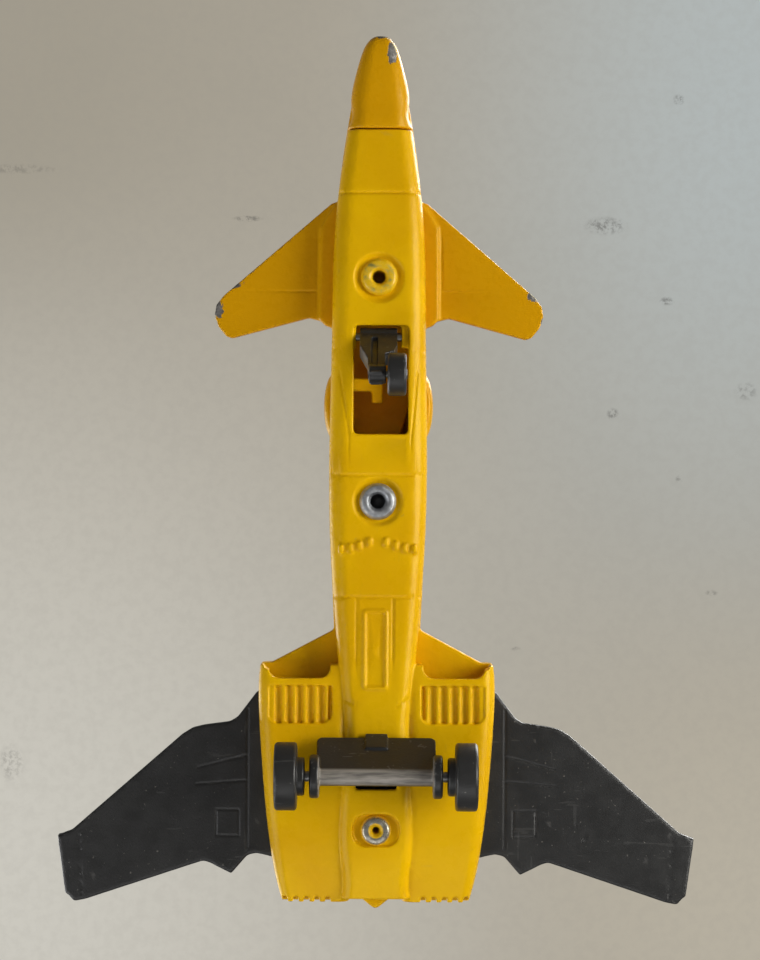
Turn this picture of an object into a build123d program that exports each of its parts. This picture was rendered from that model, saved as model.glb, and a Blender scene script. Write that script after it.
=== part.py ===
from build123d import *
import math
import os

# Die-cast toy jet with canards: two painted castings riveted together around a
# black moulded wing, a folding nose gear and a raked main gear with one axle.
# Millimetres.  +Z is up, the nose points to -Y, X=0 is the plane of symmetry.
# Z=0 is the surface the three wheels stand on, gear down.

os.makedirs("parts", exist_ok=True)

# ---------------------------------------------------------------- dimensions
Z_SPLIT = 12.5          # joint face between the two castings
WALL = 1.0              # casting wall
Y_NOSE = -50.1          # nose tip
Y_TAIL = 50.1           # tail tip
Y_BASE_FRONT = -39.2    # front end of the lower casting
Z_BELLY = 8.3           # lowest face of the fuselage

MAIN_WHEEL_D = 7.6
MAIN_AXLE_Y = 34.0
MAIN_AXLE_D = 1.2
MAIN_TRACK_OUT = 11.35  # outer face of each main wheel
MAIN_WHEEL_W = 2.5
MAIN_HUB_W = 0.85
STRUT_HALF_W = 6.7      # wide raked plate
STRUT_T = 2.1
STRUT_RAKE = 35.0       # degrees back from vertical

NOSE_WHEEL_D = 4.8
NOSE_WHEEL_W = 2.1
NOSE_AXLE_Y = -10.9
NOSE_AXLE_D = 0.8
NOSE_PIN_Y = -15.4      # hinge of the folding leg
NOSE_PIN_Z = 9.5
NOSE_PIN_D = 1.0
BAY_X0, BAY_X1 = -2.85, 3.40
BAY_Y0, BAY_Y1 = -17.25, -4.35

FRONT_RIVET_Y = -22.2
MID_RIVET_Y = 3.3
REAR_RIVET_Y = 40.7
RIVET_HEAD_D = 4.2
RIVET_SHANK_D = 2.4
RIVET_BORE_D = 1.3
REAR_HEAD_D = 3.5
POST_TOP = 14.8         # depth of the rivet holes in the upper posts

CANOPY_Y = -14.5
CANOPY_HALF_L = 12.0
CANOPY_HALF_W = 3.1
CANOPY_TOP = 20.9

FIN_TOP = 25.6
FIN_X = 8.6


# ------------------------------------------------------------------- helpers
def section(y, x0, x1, z0, z1, r):
    """Rounded rectangle across the airplane at station y."""
    pl = Plane(origin=(0, y, 0), x_dir=(1, 0, 0), z_dir=(0, -1, 0))
    w, h = x1 - x0, z1 - z0
    r = min(r, 0.49 * w, 0.49 * h)
    return pl * Pos((x0 + x1) / 2, (z0 + z1) / 2, 0) * RectangleRounded(w, h, r)


def hull(rows, grow=0.0):
    """Loft through rows of (y, half width, z bottom, z top, radius)."""
    return loft(
        [
            section(y, -hw - grow, hw + grow, zb - grow, zt + grow, max(r + grow, 0.25))
            for y, hw, zb, zt, r in rows
        ]
    )


def box(x0, x1, y0, y1, z0, z1):
    return Pos((x0 + x1) / 2, (y0 + y1) / 2, (z0 + z1) / 2) * Box(
        x1 - x0, y1 - y0, z1 - z0
    )


def cyl_z(x, y, z0, z1, d):
    return Pos(x, y, (z0 + z1) / 2) * Cylinder(d / 2, z1 - z0)


def cyl_x(x0, x1, y, z, d):
    return Pos((x0 + x1) / 2, y, z) * Rot(0, 90, 0) * Cylinder(d / 2, x1 - x0)


def plate(points, z0, z1):
    """Flat plate of a plan outline."""
    return extrude(Pos(0, 0, z0) * make_face(Polyline(*points, close=True)), z1 - z0)


def side_plate(points, x0, x1):
    """Plate of a side outline given as (y, z), from x0 to x1."""
    pl = Plane(origin=(x0, 0, 0), x_dir=(0, 1, 0), z_dir=(1, 0, 0))
    return extrude(pl * make_face(Polyline(*points, close=True)), x1 - x0)


def mirror_x(s):
    return mirror(s, about=Plane.YZ)


def only(shape):
    """The largest solid of a result, as one Solid."""
    return max(shape.solids(), key=lambda s: s.volume)


def save(shape, name):
    shape.label = name
    export_step(shape, f"parts/{name}.step")


ABOVE = box(-60, 60, -60, 60, Z_SPLIT, 60)
BELOW = box(-60, 60, -60, 60, -20, Z_SPLIT)

# ------------------------------------------------------ fuselage, lower casting
# station, half width, bottom, top (above the joint face), corner radius
LOW = [
    (Y_BASE_FRONT, 3.72, 10.15, 16.0, 1.7),
    (-32.0, 4.72, 9.15, 16.4, 2.0),
    (-22.2, 5.30, 8.45, 16.6, 2.2),
    (-15.0, 5.38, Z_BELLY, 16.6, 2.2),
    (0.0, 5.60, Z_BELLY, 16.6, 2.2),
    (10.0, 5.32, Z_BELLY, 16.6, 2.1),
    (14.6, 5.00, Z_BELLY, 16.6, 2.0),
    (25.5, 4.05, Z_BELLY, 16.4, 1.7),
    (29.0, 3.75, Z_BELLY, 16.4, 1.6),
    (37.5, 4.15, 8.45, 16.2, 1.5),
    (44.0, 4.10, 9.05, 16.0, 1.4),
    (48.7, 3.95, 9.95, 15.6, 1.2),
]
low_fuselage = hull(LOW)
low_inner = hull(
    [
        (
            y + (WALL if i == 0 else (-WALL if i == len(LOW) - 1 else 0)),
            hw - WALL,
            zb + WALL,
            zt,
            r - 0.7,
        )
        for i, (y, hw, zb, zt, r) in enumerate(LOW)
    ]
)

# rear pods, right hand: station, outer x, bottom, top, radius
POD = [
    (21.9, 13.30, 9.35, 15.2, 1.5),
    (25.0, 13.50, 9.00, 15.6, 1.7),
    (30.0, 13.30, 8.95, 16.1, 1.8),
    (35.4, 12.90, 9.00, 16.1, 1.8),
    (40.0, 12.45, 9.30, 16.0, 1.7),
    (44.3, 11.85, 9.90, 15.6, 1.5),
    (49.2, 10.70, 11.00, 14.6, 1.2),
]
POD_IN = 3.0
pod_r = loft([section(y, POD_IN, x1, zb, zt, r) for y, x1, zb, zt, r in POD])
pod_inner_r = loft(
    [
        section(
            y + (4.6 if i == 0 else (-1.4 if i == len(POD) - 1 else 0)),
            POD_IN + 0.2,
            x1 - WALL - (0.15 if i in (0, len(POD) - 1) else 0),
            zb + WALL + (0.15 if i in (0, len(POD) - 1) else 0),
            zt - WALL,
            r - 0.7,
        )
        for i, (y, x1, zb, zt, r) in enumerate(POD)
        if i != 1
    ]
)
pods = pod_r + mirror_x(pod_r)
pods_inner = pod_inner_r + mirror_x(pod_inner_r)

# ---------------------------------------------------------------- lower_base
base = (low_fuselage + pods) & BELOW
base -= low_inner & box(-60, 60, -60, 60, -20, 30)
base -= pods_inner

# rear walls and ribs that the pods' cavities would open
base += (low_fuselage & box(-5, 5, 21.9, 23.3, 8.4, Z_SPLIT)) + (
    low_fuselage & box(-5, 5, 46.6, 48.7, 8.4, Z_SPLIT)
)

# intake mouths: the outer lip reaches forward, the floor lip is set back
for s in (1, -1):
    lip = box(5.3, 12.35, 20.0, 23.45, 7.0, Z_SPLIT + 1)
    lip = fillet(lip.edges().filter_by(Axis.Z).group_by(Axis.Y)[-1], 1.25)
    lip += cyl_z(12.35 - 0.01, 21.9, 7.0, Z_SPLIT + 1, 1.1)
    mouth = box(5.3, 12.30, 20.0, 26.2, 10.15, Z_SPLIT + 1)
    base -= lip if s > 0 else mirror_x(lip)
    base -= mouth if s > 0 else mirror_x(mouth)

# louvre recess on each pod with six upright bars
for s in (1, -1):
    lou = box(5.1, 12.35, 24.25, 28.6, 8.0, 9.62)
    lou = fillet(lou.edges().filter_by(Axis.Z).group_by(Axis.Y)[-1], 1.1)
    bars = None
    for k in range(6):
        x = 5.75 + 1.21 * k
        b = box(x - 0.24, x + 0.24, 24.2, 28.65, 9.22, 9.75)
        bars = b if bars is None else bars + b
    if s < 0:
        lou, bars = mirror_x(lou), mirror_x(bars)
    base -= lou
    base += bars

# rivet bosses, dished recesses and rivet holes
RIVETS = [
    (FRONT_RIVET_Y, Z_BELLY + 0.15, 7.0, RIVET_SHANK_D),
    (MID_RIVET_Y, Z_BELLY, 6.9, RIVET_SHANK_D),
    (REAR_RIVET_Y, 8.75, 0.0, RIVET_SHANK_D - 0.4),
]
for y, zb, rec, d in RIVETS:
    base += cyl_z(0, y, zb + 0.5, Z_SPLIT, 5.6 if rec else 4.6)
    if rec:
        base -= Pos(0, y, zb + 0.35 - 0.45) * Cone(rec / 2, rec / 2 - 0.9, 0.9)
        base -= cyl_z(0, y, zb - 1.0, zb + 0.55, 5.0)
    else:
        rec_box = box(-2.7, 2.7, y - 1.85, y + 1.85, 7.5, zb + 0.55)
        base -= fillet(rec_box.edges().filter_by(Axis.Z), 1.6)
    base -= cyl_z(0, y, zb - 1, Z_SPLIT + 1, d)

# nose gear bay and the two hinge lugs beside it
bay = box(BAY_X0, BAY_X1, BAY_Y0 + 0.55, BAY_Y1, 7.0, 11.0)
bay = fillet(bay.edges().filter_by(Axis.Z), 0.55)
bay_top = box(BAY_X0, BAY_X1, BAY_Y0, BAY_Y1, Z_BELLY + 0.95, Z_SPLIT + 1)
lug_l = box(-4.5, BAY_X0 + 0.25, NOSE_PIN_Y - 1.3, NOSE_PIN_Y + 1.2, 8.85, 11.2)
lug_r = box(BAY_X1 - 0.85, 4.5, NOSE_PIN_Y - 1.3, NOSE_PIN_Y + 1.2, 8.85, 11.2)
rim_l = box(-4.7, BAY_X0, BAY_Y0, BAY_Y1 + 0.7, 9.0, 10.9)
rim_r = box(BAY_X1, 4.7, BAY_Y0, BAY_Y1 + 0.7, 9.0, 10.9)
rim_b = box(-4.7, 4.7, BAY_Y1, BAY_Y1 + 0.9, 9.0, 10.9)
base -= bay
base -= bay_top
base += rim_l + rim_r + rim_b
base += lug_l + lug_r
base -= cyl_x(-4.05, 4.05, NOSE_PIN_Y, NOSE_PIN_Z, NOSE_PIN_D)
# tee-shaped stop on the left wall of the bay, above the folded leg
base += (
    box(-5.0, 0.45, -10.75, -9.30, 11.55, Z_SPLIT)
    + box(-0.80, 0.45, -9.4, -7.95, 11.55, Z_SPLIT)
) & low_fuselage

# slot for the main gear's tongue
base -= box(-2.35, 2.35, 30.2, 36.0, 7.0, Z_SPLIT + 1)

# eight raised pips in a shallow arc
for sx in (1, -1):
    for k, (x, y) in enumerate([(0.95, 7.9), (2.05, 8.3), (3.1, 8.6), (4.15, 8.7)]):
        pip = box(sx * x - 0.27, sx * x + 0.27, y - 0.5, y + 0.5, 8.0, 8.75)
        base += fillet(pip.edges().filter_by(Axis.Z), 0.2)

# plain raised frame on the belly, with a sunk blank panel
frame = box(-1.55, 1.15, 15.6, 24.6, 8.08, 8.6)
frame = fillet(frame.edges().filter_by(Axis.Z), 0.35)
base += frame
base -= box(-1.27, 0.87, 15.88, 24.32, 7.5, 8.36)

# engraved panel lines of the belly
def groove(x0, x1, y0, y1, depth=0.16, zb=Z_BELLY):
    return box(x0, x1, y0, y1, zb - 1.5, zb + depth)


base -= groove(-6, 6, 0.20, 0.42)
base -= groove(-6, 6, 14.05, 14.27)
base -= groove(-2.45, -2.25, 14.2, 25.4)
base -= groove(1.70, 1.90, 14.2, 25.4)
base -= groove(-6, 6, -31.95, -31.75, 0.16, 9.1)
base = only(base)

# five scallops at the rear edge of each pod
teeth = None
for sx in (1, -1):
    for k in range(5):
        x = sx * (4.85 + 1.22 * k)
        t = cyl_z(x + sx * 0.6, 48.80, 8.0, Z_SPLIT + 0.5, 0.56)
        t += box(x + sx * 0.6 - 0.28, x + sx * 0.6 + 0.28, 48.80, 50.0, 8.0, Z_SPLIT + 0.5)
        teeth = t if teeth is None else teeth + t
base -= teeth
base = only(base)

# ---------------------------------------------------------------- upper_body
UP = [
    (-46.0, 2.75, 8.0, 14.5, 1.9),
    (Y_BASE_FRONT, 3.80, 7.5, 15.6, 2.5),
    (-32.0, 4.75, 7.0, 16.7, 3.2),
    (-22.2, 5.30, 7.0, 17.5, 3.8),
    (-12.0, 5.45, 7.0, 17.9, 4.0),
    (0.0, 5.60, 7.0, 18.0, 4.1),
    (12.0, 5.25, 7.0, 17.8, 4.0),
    (25.5, 4.60, 7.0, 17.6, 3.6),
    (37.5, 4.20, 7.0, 17.2, 3.3),
    (44.0, 3.90, 7.0, 16.6, 2.9),
    (48.9, 3.30, 7.0, 15.4, 2.4),
]
up_fuselage = hull(UP)
up_inner = hull(
    [
        (
            y + (9.0 if i == 0 else (-1.6 if i == len(UP) - 1 else 0)),
            (hw if i else 3.95) - WALL,
            zb,
            (zt if i else 15.9) - WALL,
            r - 0.7,
        )
        for i, (y, hw, zb, zt, r) in enumerate(UP)
        if i != 1
    ]
)
NOSE = [
    (Y_NOSE + 0.02, 0.55, 11.75, 12.95, 0.5),
    (Y_NOSE + 0.35, 1.15, 11.30, 13.35, 0.9),
    (Y_NOSE + 1.10, 1.75, 10.95, 13.75, 1.25),
    (Y_NOSE + 2.30, 2.25, 10.70, 14.10, 1.5),
    (Y_NOSE + 4.10, 2.75, 10.45, 14.50, 1.8),
    (-42.5, 3.35, 10.20, 15.05, 2.1),
    (Y_BASE_FRONT - 0.12, 3.80, 9.98, 15.6, 2.4),
]
nose = hull(NOSE)

body = (up_fuselage + pods) & ABOVE
body -= pods_inner
body -= up_inner
body += nose
body -= box(-10, 10, Y_BASE_FRONT - 0.1, -30.0, 0.0, Z_SPLIT)

# shoulder plates and canards
CANARD_Z0, CANARD_Z1 = 12.9, 14.1
for s in (1, -1):
    sh = plate(
        [(4.0, -31.2), (5.3, -30.6), (6.75, -28.2), (6.85, -17.6), (6.2, -16.9), (4.0, -16.2)],
        Z_SPLIT, 14.4,
    )
    can = plate(
        [
            (5.0, -31.1), (5.5, -31.0), (17.9, -20.3), (18.75, -19.2), (18.95, -18.0),
            (18.5, -16.7), (17.6, -15.6), (16.9, -15.35), (8.05, -17.75), (6.2, -17.3),
            (5.0, -17.1),
        ],
        CANARD_Z0, CANARD_Z1,
    )
    can -= box(7.2, 16.0, -20.9, -20.72, CANARD_Z0 - 1, CANARD_Z0 + 0.15)
    both = sh + can
    body += both if s > 0 else mirror_x(both)

# cheek bulges behind the canards
for s in (1, -1):
    ch = Pos(s * 4.6, -7.6, 13.6) * Sphere(1.0)
    cheek = Pos(s * 5.05, -7.6, 13.7) * scale(Sphere(1.0), by=(1.25, 3.9, 1.6))
    body += cheek & ABOVE

# strakes in front of the pods
for s in (1, -1):
    st = plate(
        [(4.2, 17.2), (5.15, 18.2), (12.5, 22.1), (13.2, 22.6), (13.3, 26.0), (4.2, 26.0)],
        Z_SPLIT, 14.1,
    )
    body += st if s > 0 else mirror_x(st)

# tail tip under the rudder line
body += plate([(-1.9, 47.6), (1.9, 47.6), (1.75, 48.9), (0.25, Y_TAIL), (-0.25, Y_TAIL), (-1.75, 48.9)], Z_SPLIT, 14.9)

# hollow the roots again where plates crossed the cavity
body -= up_inner & box(-4.4, 4.4, -38, 47, Z_SPLIT - 1, 30)

# twin fins on the pods, leaning outward
for s in (1, -1):
    fin = side_plate(
        [(31.5, 14.9), (34.2, 16.2), (42.3, FIN_TOP), (47.6, FIN_TOP), (48.4, 24.6), (47.9, 15.9), (47.5, 13.9)],
        -0.55, 0.55,
    )
    fin = Pos(FIN_X, 0, 0) * Rot(0, 7, 0) * Pos(0, 0, 0) * fin
    fin = Pos(-math.sin(math.radians(7)) * 15.5, 0, 0.0) * fin
    fin &= box(-60, 60, -60, 60, 14.3, 60)
    body += fin if s > 0 else mirror_x(fin)

# posts that the rivets are set into
for y, zb, rec, d in RIVETS:
    post = cyl_z(0, y, Z_SPLIT, 16.4, 5.0 if rec else 4.2)
    body += post
    body -= cyl_z(0, y, Z_SPLIT - 1, POST_TOP, d)

# seat for the wing moulding, sides open where the wings leave
WEB_T = 1.15
slot_gap = 0.05
body -= box(-14.5, 14.5, 24.9 - 0.3, 45.0, Z_SPLIT - 1, Z_SPLIT + WEB_T + 0.12)

# closed cockpit well that the canopy is glued into
well = scale(Cylinder(1.0, 1.1), by=(4.1, CANOPY_HALF_L + 1.0, 1.0))
body += (Pos(0, CANOPY_Y, 15.05) * well) & up_fuselage
can_hole = scale(Cylinder(1.0, 8.0), by=(CANOPY_HALF_W + 0.04, CANOPY_HALF_L + 0.04, 1.0))
body -= Pos(0, CANOPY_Y, 15.6 + 4.0) * can_hole
body -= cyl_z(0, FRONT_RIVET_Y, Z_SPLIT - 1, POST_TOP, RIVET_SHANK_D)
# two seat backs and a coaming in the well
body += box(-1.3, 1.3, -14.4, -13.4, 15.5, 18.3)
body += box(-1.3, 1.3, -8.6, -7.6, 15.5, 17.9)
body += box(-1.6, 1.6, -20.8, -20.0, 15.5, 17.2)
body = only(body)
# spine line and flap lines are shallow grooves on top
body -= box(-7, 7, 13.2, 13.4, 17.62, 20)
body -= box(-7, 7, 0.2, 0.4, 17.82, 20)
body = only(body)

# ---------------------------------------------------------------- canopy
Z_DOME = 16.9          # the dome starts inside the opening, on a slightly smaller skirt
dome = scale(Sphere(1.0), by=(CANOPY_HALF_W, CANOPY_HALF_L, CANOPY_TOP - Z_DOME))
dome = Pos(0, CANOPY_Y, Z_DOME) * dome
dome &= box(-10, 10, -40, 10, Z_DOME, 30)
skirt = Pos(0, CANOPY_Y, 16.4) * scale(
    Cylinder(1.0, 1.5), by=(CANOPY_HALF_W - 0.06, CANOPY_HALF_L - 0.06, 1.0)
)
inner = Pos(0, CANOPY_Y, Z_DOME + 0.1) * scale(
    Sphere(1.0), by=(CANOPY_HALF_W - 0.8, CANOPY_HALF_L - 0.9, CANOPY_TOP - Z_DOME - 0.9)
)
inner_low = Pos(0, CANOPY_Y, 16.3) * scale(
    Cylinder(1.0, 1.8), by=(CANOPY_HALF_W - 0.9, CANOPY_HALF_L - 1.0, 1.0)
)
canopy = only(dome + skirt - inner - inner_low)

# ---------------------------------------------------------------- wing_insert
WING = [
    (11.8, 25.2), (13.75, 25.2), (16.0, 28.2), (16.9, 28.75), (19.8, 29.15),
    (21.2, 29.5), (22.4, 30.25), (35.2, 41.5), (36.1, 41.8), (36.75, 43.0),
    (35.85, 48.6), (34.9, 49.75), (33.6, 49.5), (19.9, 44.85), (19.1, 45.1),
    (16.65, 46.3), (14.8, 44.15), (13.75, 43.9), (11.8, 44.3),
]
DIHEDRAL = 3.0
zw0, zw1 = Z_SPLIT + 0.03, Z_SPLIT + WEB_T
web = box(-12.2, 12.2, 25.2, 44.3, zw0, zw1)
web -= cyl_z(0, REAR_RIVET_Y, 10, 16, 4.5)
web -= box(-4.6, 4.6, 20, 29.6, 10, 16)
wing = plate(WING, zw0, zw1)
# engraved hinge line, chord lines and hatch on the underside
wing -= box(14.75, 14.9, 27.5, 43.0, zw0 - 1, zw0 + 0.12)
wing -= Pos(17.7, 33.4, zw0) * Rot(0, 0, 14) * Box(5.8, 0.16, 0.24)
wing -= Pos(17.7, 35.6, zw0) * Rot(0, 0, 4) * Box(5.8, 0.16, 0.24)
hatch = box(15.7, 18.3, 38.9, 41.9, zw0 - 1, zw0 + 0.10) - box(15.85, 18.15, 39.05, 41.75, zw0 - 2, zw0 + 1)
wing -= hatch
fence = side_plate(
    [(42.0, zw0 + 0.1), (41.9, zw0 + 1.0), (44.9, 17.4), (48.3, 17.4), (49.1, zw0 + 1.0), (48.9, zw0 + 0.1)],
    -0.48, 0.48,
)
fence = Pos(36.25, 43.0, 0) * Rot(0, 0, 8.0) * Pos(0, -43.0, 0) * fence
wing = wing + fence
pivot = (12.2, 0, zw0)
wing = Pos(*pivot) * Rot(0, -DIHEDRAL, 0) * Pos(-pivot[0], 0, -pivot[2]) * wing
wing_insert = only(web + wing + mirror_x(wing))

# ---------------------------------------------------------------- rivets
def rivet(y, zb, d_head, d_shank, z_top):
    """Tubular rivet: rolled ring head below, shank set in the upper post."""
    zh = zb + 0.55
    r = cyl_z(0, y, zh - 0.75, zh, d_head)
    r = fillet(r.edges().sort_by(Axis.Z)[0], 0.5)
    r += cyl_z(0, y, zh - 0.1, z_top, d_shank)
    r -= cyl_z(0, y, zh - 2, z_top - 2.2, RIVET_BORE_D if d_head > 4 else 0.8)
    r -= Pos(0, y, zh - 0.75) * Cone((RIVET_BORE_D if d_head > 4 else 0.8) / 2 + 0.5, 0.2, 0.9)
    return only(r)


front_rivet = rivet(FRONT_RIVET_Y, RIVETS[0][1], RIVET_HEAD_D, RIVET_SHANK_D, POST_TOP)
mid_rivet = rivet(MID_RIVET_Y, RIVETS[1][1], RIVET_HEAD_D, RIVET_SHANK_D, POST_TOP)
rear_rivet = rivet(REAR_RIVET_Y, RIVETS[2][1], REAR_HEAD_D, RIVET_SHANK_D - 0.4, POST_TOP)

# ---------------------------------------------------------------- nose gear
NOSE_AXLE_Z = NOSE_WHEEL_D / 2
dy, dz = NOSE_AXLE_Y - NOSE_PIN_Y, NOSE_AXLE_Z - NOSE_PIN_Z
LEG_L = math.hypot(dy, dz)
LEG_RAKE = math.degrees(math.atan2(dy, -dz))       # back from vertical
LEG_T = 1.7
WHEEL_X0 = 1.0

# drawn hanging straight down from the hinge at the origin, then raked
leg_face = make_face(
    Polyline(
        (-2.15, 0.4), (2.10, 0.4), (2.10, -3.3), (1.75, -4.6), (0.75, -5.1),
        (0.75, -LEG_L + 0.2), (0.45, -LEG_L - 0.95), (-0.85, -LEG_L - 0.95),
        (-1.15, -LEG_L), (-1.25, -6.2), (-2.15, -3.2), close=True,
    )
)
leg = extrude(Plane(origin=(0, LEG_T / 2, 0), x_dir=(1, 0, 0), z_dir=(0, -1, 0)) * leg_face, LEG_T)
leg += cyl_x(-2.15, 2.10, 0, 0, 2.1)
leg += cyl_x(-1.05, 0.82, 0, -LEG_L, 2.1)
leg -= Pos(-0.45, -LEG_T / 2, -4.6) * Box(0.65, 0.7, 6.2)
leg -= cyl_x(-3, 3, 0, 0, NOSE_PIN_D + 0.10)
leg -= cyl_x(-3, 3, 0, -LEG_L, NOSE_AXLE_D)
place = Pos(0, NOSE_PIN_Y, NOSE_PIN_Z) * Rot(LEG_RAKE, 0, 0)
nose_gear_leg = only(place * leg)

nose_gear_pin = only(cyl_x(-4.05, 4.05, NOSE_PIN_Y, NOSE_PIN_Z, NOSE_PIN_D))

wheel = cyl_x(WHEEL_X0, WHEEL_X0 + NOSE_WHEEL_W, NOSE_AXLE_Y, NOSE_AXLE_Z, NOSE_WHEEL_D)
wheel = fillet(wheel.edges(), 0.35)
wheel -= cyl_x(WHEEL_X0 + NOSE_WHEEL_W - 0.45, 9, NOSE_AXLE_Y, NOSE_AXLE_Z, 2.9)
wheel += cyl_x(WHEEL_X0 + 0.9, WHEEL_X0 + NOSE_WHEEL_W - 0.2, NOSE_AXLE_Y, NOSE_AXLE_Z, 1.7)
wheel -= cyl_x(0, 9, NOSE_AXLE_Y, NOSE_AXLE_Z, NOSE_AXLE_D + 0.10)
nose_wheel = only(wheel)
nose_wheel_axle = only(
    cyl_x(-1.05, WHEEL_X0 + NOSE_WHEEL_W + 0.10, NOSE_AXLE_Y, NOSE_AXLE_Z, NOSE_AXLE_D)
    + cyl_x(WHEEL_X0 + NOSE_WHEEL_W - 0.15, WHEEL_X0 + NOSE_WHEEL_W + 0.1, NOSE_AXLE_Y, NOSE_AXLE_Z, 1.25)
)

# ---------------------------------------------------------------- main gear
MAIN_AXLE_Z = MAIN_WHEEL_D / 2
STRUT_L = (Z_BELLY - MAIN_AXLE_Z) / math.cos(math.radians(STRUT_RAKE))
bar = Pos(0, 0, STRUT_L / 2) * Box(2 * STRUT_HALF_W, STRUT_T, STRUT_L + 0.02)
bar = fillet(bar.edges().filter_by(Axis.Y).group_by(Axis.Z)[-1], 0.6)
bar += cyl_x(-STRUT_HALF_W, STRUT_HALF_W, 0, 0, STRUT_T)
bar += box(-1.25, 1.25, -STRUT_T / 2 - 0.25, 0, 3.4, STRUT_L + 0.45)
bar = Pos(0, MAIN_AXLE_Y, MAIN_AXLE_Z) * Rot(STRUT_RAKE, 0, 0) * bar
bar &= box(-20, 20, 0, 60, -2, Z_BELLY - 0.03)
for s in (1, -1):
    fl = cyl_x(STRUT_HALF_W - 0.35, STRUT_HALF_W + 0.75, MAIN_AXLE_Y, MAIN_AXLE_Z, 4.9)
    fl = fillet(fl.edges(), 0.3)
    bar += fl if s > 0 else mirror_x(fl)
# tongue through the slot, with a tee head that lies under the wing moulding
tongue = box(-2.2, 2.2, 30.3, 32.6, 7.2, Z_SPLIT - 0.1)
tongue += box(-2.6, 2.6, 30.3, 32.6, Z_BELLY + 1.15, Z_SPLIT - 0.1)
bar += tongue
bar -= cyl_x(-20, 20, MAIN_AXLE_Y, MAIN_AXLE_Z, MAIN_AXLE_D + 0.10)
main_gear_strut = only(bar)

main_axle = only(
    cyl_x(-MAIN_TRACK_OUT + 0.6, MAIN_TRACK_OUT - 0.6, MAIN_AXLE_Y, MAIN_AXLE_Z, MAIN_AXLE_D)
)


def main_wheel(s):
    x1 = MAIN_TRACK_OUT
    x0 = x1 - MAIN_WHEEL_W
    w = cyl_x(x0, x1, MAIN_AXLE_Y, MAIN_AXLE_Z, MAIN_WHEEL_D)
    e = w.edges().sort_by(Axis.X)
    w = fillet([e[0]], 0.3)
    e = w.edges().sort_by(Axis.X)
    w = fillet([e[-1]], 0.8)
    # sunk outer face with a raised hub cap
    w -= cyl_x(x1 - 0.35, x1 + 1, MAIN_AXLE_Y, MAIN_AXLE_Z, 4.6)
    w += cyl_x(x1 - 0.4, x1 - 0.05, MAIN_AXLE_Y, MAIN_AXLE_Z, 2.2)
    # stepped hub towards the strut
    w += cyl_x(x0 - MAIN_HUB_W, x0 + 0.1, MAIN_AXLE_Y, MAIN_AXLE_Z, 4.3)
    w -= cyl_x(0, x1 - 0.6, MAIN_AXLE_Y, MAIN_AXLE_Z, MAIN_AXLE_D)
    w = only(w)
    return w if s > 0 else only(mirror_x(w))


right_main_wheel = main_wheel(1)
left_main_wheel = main_wheel(-1)

# make room for the tongue's tee head
base -= box(-2.7, 2.7, 30.2, 32.7, Z_BELLY + 1.05, Z_SPLIT + 1)
base = only(base)

PARTS = {
    "upper_body": body,
    "lower_base": base,
    "wing_insert": wing_insert,
    "canopy": canopy,
    "front_rivet": front_rivet,
    "mid_rivet": mid_rivet,
    "rear_rivet": rear_rivet,
    "nose_gear_leg": nose_gear_leg,
    "nose_gear_pin": nose_gear_pin,
    "nose_wheel": nose_wheel,
    "nose_wheel_axle": nose_wheel_axle,
    "main_gear_strut": main_gear_strut,
    "main_axle": main_axle,
    "left_main_wheel": left_main_wheel,
    "right_main_wheel": right_main_wheel,
}
for name, solid in PARTS.items():
    save(solid, name)
    print(name, round(solid.volume, 2), [round(v, 2) for v in solid.bounding_box().min], [round(v, 2) for v in solid.bounding_box().max])
print("leg length", round(LEG_L, 3), "rake", round(LEG_RAKE, 2))
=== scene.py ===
import bpy
import bmesh
import math
import numpy as np
from mathutils import Matrix, Vector


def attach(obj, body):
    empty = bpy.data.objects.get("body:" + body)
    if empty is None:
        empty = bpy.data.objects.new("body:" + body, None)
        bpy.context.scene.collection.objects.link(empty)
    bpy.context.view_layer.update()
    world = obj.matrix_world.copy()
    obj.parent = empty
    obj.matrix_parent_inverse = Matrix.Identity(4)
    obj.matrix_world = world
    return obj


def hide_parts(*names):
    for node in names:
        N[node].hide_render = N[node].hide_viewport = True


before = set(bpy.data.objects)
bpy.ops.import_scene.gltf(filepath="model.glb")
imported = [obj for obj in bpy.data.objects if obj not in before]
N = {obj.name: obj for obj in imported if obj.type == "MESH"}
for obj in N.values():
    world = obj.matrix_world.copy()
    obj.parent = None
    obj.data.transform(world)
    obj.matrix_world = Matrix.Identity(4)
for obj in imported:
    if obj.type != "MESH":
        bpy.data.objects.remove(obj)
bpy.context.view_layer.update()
MM = 0.001


# =============================================================== mesh helpers
def link(me, name):
    ob = bpy.data.objects.new(name, me)
    bpy.context.scene.collection.objects.link(ob)
    return ob


def activate(ob):
    bpy.ops.object.select_all(action="DESELECT")
    ob.select_set(True)
    bpy.context.view_layer.objects.active = ob


def apply_all(ob):
    activate(ob)
    for m in list(ob.modifiers):
        bpy.ops.object.modifier_apply(modifier=m.name)


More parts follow.
